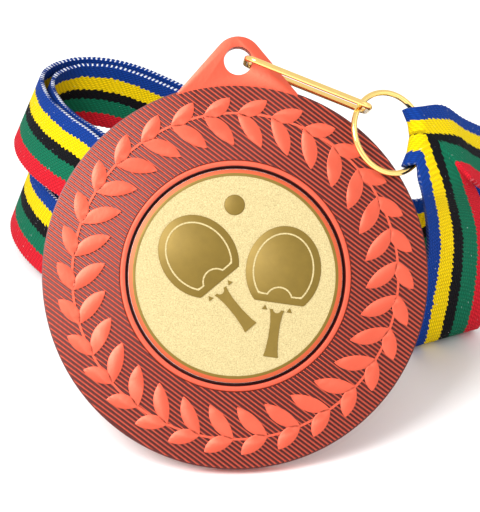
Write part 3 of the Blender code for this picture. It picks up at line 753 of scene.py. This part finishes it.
def pull_up(plate, top):
    """Extrudes a flat plate to its height."""
    start_edit(plate)
    bpy.ops.mesh.select_all(action="SELECT")
    bpy.ops.mesh.extrude_region_move(TRANSFORM_OT_translate={"value": (0, 0, top - RELIEF_FOOT)})
    bpy.ops.mesh.select_all(action="SELECT")
    bpy.ops.mesh.normals_make_consistent(inside=False)
    bpy.ops.object.mode_set(mode="OBJECT")


def make_blade(inset, top):
    """An oval plate cut straight at the handle's side, smaller than the blade by the inset."""
    bpy.ops.mesh.primitive_circle_add(
        vertices=96, radius=1.0, fill_type="NGON", location=(0, BLADE_MIDDLE, RELIEF_FOOT))
    blade = bpy.context.object
    blade.scale = (BLADE_HALF_WIDTH - inset, BLADE_HALF_LENGTH - inset, 1)
    bpy.ops.object.transform_apply(location=True, scale=True)
    cut = BLADE_CUT + inset
    choose_corners(blade, lambda place: place.y < cut)
    bpy.ops.transform.resize(value=(1, 0, 1), center_override=(0, cut, 0))
    bpy.ops.mesh.select_all(action="SELECT")
    bpy.ops.mesh.dissolve_limited(angle_limit=math.radians(1))
    bpy.ops.object.mode_set(mode="OBJECT")
    round_corners(blade, lambda place: place.y < cut + 0.01 * MM, BLADE_CORNER, 6)
    pull_up(blade, top)
    return blade


def make_handle(top):
    """A flat grip from its end up, waisted, then flared to a fork at the blade."""
    bpy.ops.mesh.primitive_plane_add(size=1.0, location=(0, HANDLE_END + 0.1 * MM, RELIEF_FOOT))
    handle = bpy.context.object
    handle.scale = (1.7 * MM, 0.2 * MM, 1)
    bpy.ops.object.transform_apply(location=True, scale=True)
    choose_corners(handle, lambda place: place.y > HANDLE_END + 0.1 * MM)
    for rise, width in HANDLE_STEPS:
        bpy.ops.mesh.extrude_region_move(TRANSFORM_OT_translate={"value": (0, rise * MM, 0)})
        bpy.ops.transform.resize(value=(width, 1, 1))
    bpy.ops.object.mode_set(mode="OBJECT")
    pull_up(handle, top)
    fork = HANDLE_END + (0.2 + sum(rise for rise, _ in HANDLE_STEPS)) * MM
    apply_boolean(handle, add_cylinder(0.5 * MM, 0, 3 * FACE, 32, (0, fork + 0.1 * MM)), "DIFFERENCE")
    return handle


relief_parts = []
line_parts = []
for centre, heading, handle_shift in BATS:
    turn = Matrix.Translation(centre) @ Matrix.Rotation(math.radians(heading + 90) + MEDAL_ROLL, 4, "Z")
    blade = make_blade(0.0, RELIEF_TOP)
    apply_bevel(blade, 0.05 * MM, 2, 60)
    handle = make_handle(RELIEF_TOP)
    wings = [
        add_cylinder(WING_RADIUS, RELIEF_FOOT, RELIEF_TOP, 3, (side * WING_PLACE.x, BLADE_CUT + WING_PLACE.y))
        for side in (-1, 1)]
    line = make_blade(OUTLINE_INSET, RELIEF_TOP + 0.035 * MM)
    within = make_blade(OUTLINE_INSET + OUTLINE_WIDTH, 2 * FACE)
    notch_place = (handle_shift / 2, BLADE_CUT + OUTLINE_INSET - 0.5 * MM)
    for outline, radius in ((line, NOTCH_RADIUS), (within, NOTCH_RADIUS + OUTLINE_WIDTH)):
        notch = add_cylinder(radius, 0, 3 * FACE, 48, notch_place)
        apply_boolean(outline, notch, "DIFFERENCE")
    within.data.transform(Matrix.Translation((0, 0, -0.05 * MM)))
    apply_boolean(line, within, "DIFFERENCE")
    for piece in (handle, *wings):
        piece.data.transform(Matrix.Translation((handle_shift, 0, 0)))
    for piece in (blade, handle, *wings, line):
        piece.data.transform(turn)
    relief_parts += [blade, handle, *wings]
    line_parts.append(line)
ball = add_cylinder(BALL_RADIUS, RELIEF_FOOT, RELIEF_TOP, 48, tuple(BALL_PLACE))
apply_bevel(ball, 0.09 * MM, 3)
relief_parts.append(ball)
band = add_cylinder(BAND_RADIUS, FOIL_FOOT - 0.03 * MM, FOIL_FOOT, DISC_SIDES)
start_edit(band)
choose(band, is_top)
raise_inset(BAND_SLOPE, BAND_TOP - FOIL_FOOT)
bpy.ops.object.mode_set(mode="OBJECT")
apply_boolean(band, add_cylinder(BAND_BORE, 0, 3 * FACE, DISC_SIDES), "DIFFERENCE")
relief_parts.append(band)
finish_piece(join_parts(relief_parts), "bats_and_ball", medal_place, polished, "medal")
finish_piece(join_parts(line_parts), "rubber_outlines", medal_place, gold_field, "medal")


# Link: round steel wire bent to an oblong loop through the tab's hole and the ring, and plated gold.
LINK_WIRE_RADIUS = 0.37 * MM
LINK_LENGTH = 16.0 * MM
LINK_FRONT = 4.3 * MM
LINK_BACK = -FACE - 0.3 * MM - LINK_WIRE_RADIUS
LINK_CORNER_RADIUS = 1.1 * MM
LINK_SLOPE = math.radians(-20.8)


def plated_gold(name, base, roughness, scale):
    """Plated wire: bright gold with drawn streaks too fine to see one by one."""
    material, tree, shader = new_material(name, roughness, 1.0)
    wire_grain = grain(tree, scale, 0.000012)
    darker = tuple(0.82 * channel for channel in base)
    color = mix_color(tree, wire_grain.outputs["Mask"], (*darker, 1), (*base, 1))
    tree.links.new(color, shader.inputs["Base Color"])
    tree.links.new(wire_grain.outputs["Normal"], shader.inputs["Normal"])
    return material


gilt_wire = plated_gold("gilt_wire", (1.0, 0.70, 0.24), 0.16, 1500.0)
bpy.ops.mesh.primitive_plane_add(size=1.0)
link = bpy.context.object
far_end = LINK_LENGTH - 2 * LINK_WIRE_RADIUS
link.data.transform(Matrix.Translation((far_end / 2, (LINK_FRONT + LINK_BACK) / 2, 0)) @ Matrix.Diagonal(
    (far_end, LINK_FRONT - LINK_BACK, 1, 1)))
round_corners(link, lambda place: True, LINK_CORNER_RADIUS, 8)
start_edit(link)
bpy.ops.mesh.select_all(action="SELECT")
bpy.ops.mesh.delete(type="ONLY_FACE")
bpy.ops.object.mode_set(mode="OBJECT")
bpy.ops.object.convert(target="CURVE")
link.data.bevel_depth = LINK_WIRE_RADIUS
link.data.bevel_resolution = 6
bpy.ops.object.convert(target="MESH")
link = bpy.context.object
hole_point = Matrix.Translation((LINK_HOLE_OFFSET, HOLE_HEIGHT, 0))
link_turn = Matrix.Rotation(LINK_SLOPE, 4, "Z") @ Matrix.Rotation(math.pi / 2, 4, "X")
link_place = medal_place @ hole_point @ link_turn
finish_piece(link, "oblong_wire_link", link_place, gilt_wire, "link", 60)
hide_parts("oblong_link")


# Ring: a jump ring of the same plated wire, its two ends butted together inside the ribbon's fold.
RING_RADIUS = 4.85 * MM
RING_WIRE_RADIUS = 0.35 * MM
bpy.ops.mesh.primitive_torus_add(
    major_radius=RING_RADIUS, minor_radius=RING_WIRE_RADIUS, major_segments=144, minor_segments=20)
ring = bpy.context.object
start_edit(ring)
choose(ring, lambda centre, normal: centre.x > 0 and 0 < centre.y < 0.15 * MM)
bpy.ops.mesh.delete(type="FACE")
bpy.ops.mesh.select_mode(type="EDGE")
bpy.ops.mesh.select_non_manifold()
bpy.ops.mesh.fill()
bpy.ops.object.mode_set(mode="OBJECT")
finish_piece(ring, "split_ring", ring_place, gilt_wire, "ring", 60)
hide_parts("jump_ring")


# Hidden pieces: the plastic disc under the foil, its adhesive pad, and the thread of the bar tack.
def plain_finish(name, base, roughness, scale):
    """A moulded, foamed or spun surface with a little unevenness."""
    material, tree, shader = new_material(name, roughness, 0.0)
    surface = grain(tree, scale, 0.00003)
    color = mix_color(tree, surface.outputs["Mask"], (*(0.8 * channel for channel in base), 1), (*base, 1))
    tree.links.new(color, shader.inputs["Base Color"])
    tree.links.new(surface.outputs["Normal"], shader.inputs["Normal"])
    return material


for name, finish in (
        ("emblem_core", plain_finish("moulded_core", (0.75, 0.75, 0.72), 0.5, 700.0)),
        ("emblem_adhesive", plain_finish("adhesive_foam", (0.90, 0.90, 0.85), 0.8, 1800.0)),
        ("seam_thread", plain_finish("spun_thread", (0.05, 0.10, 0.35), 0.7, 4000.0))):
    solid = frame["nodes"][name]
    solid.data.materials.clear()
    solid.data.materials.append(finish)


# Floor and light: a pale plain floor under a white sky, with a small soft light close by at the upper left
# and a large weak one at the right.
bpy.ops.mesh.primitive_plane_add(size=4.0)
floor = bpy.context.object
floor.name = "floor"
floor_finish, tree, shader = new_material("pale_floor", 0.9, 0.0)
shader.inputs["Base Color"].default_value = (0.95, 0.95, 0.95, 1)
floor.data.materials.append(floor_finish)


def add_softbox(name, place, size, power):
    """A square light that faces the medal."""
    data = bpy.data.lights.new(name, "AREA")
    data.size = size
    data.energy = power
    lamp = bpy.data.objects.new(name, data)
    bpy.context.scene.collection.objects.link(lamp)
    lamp.location = medal_centre + Vector(place)
    lamp.rotation_euler = (-Vector(place)).to_track_quat("-Z", "Y").to_euler()


add_softbox("key_light", (-0.12, -0.18, 0.20), 0.12, 0.9)
add_softbox("fill_light", (0.45, -0.30, 0.30), 0.45, 0.5)
world = bpy.data.worlds.new("studio")
bpy.context.scene.world = world
world.use_nodes = True
world.node_tree.nodes["Background"].inputs["Color"].default_value = (1, 1, 1, 1)
world.node_tree.nodes["Background"].inputs["Strength"].default_value = 1.0
bpy.context.scene.view_settings.view_transform = "Standard"
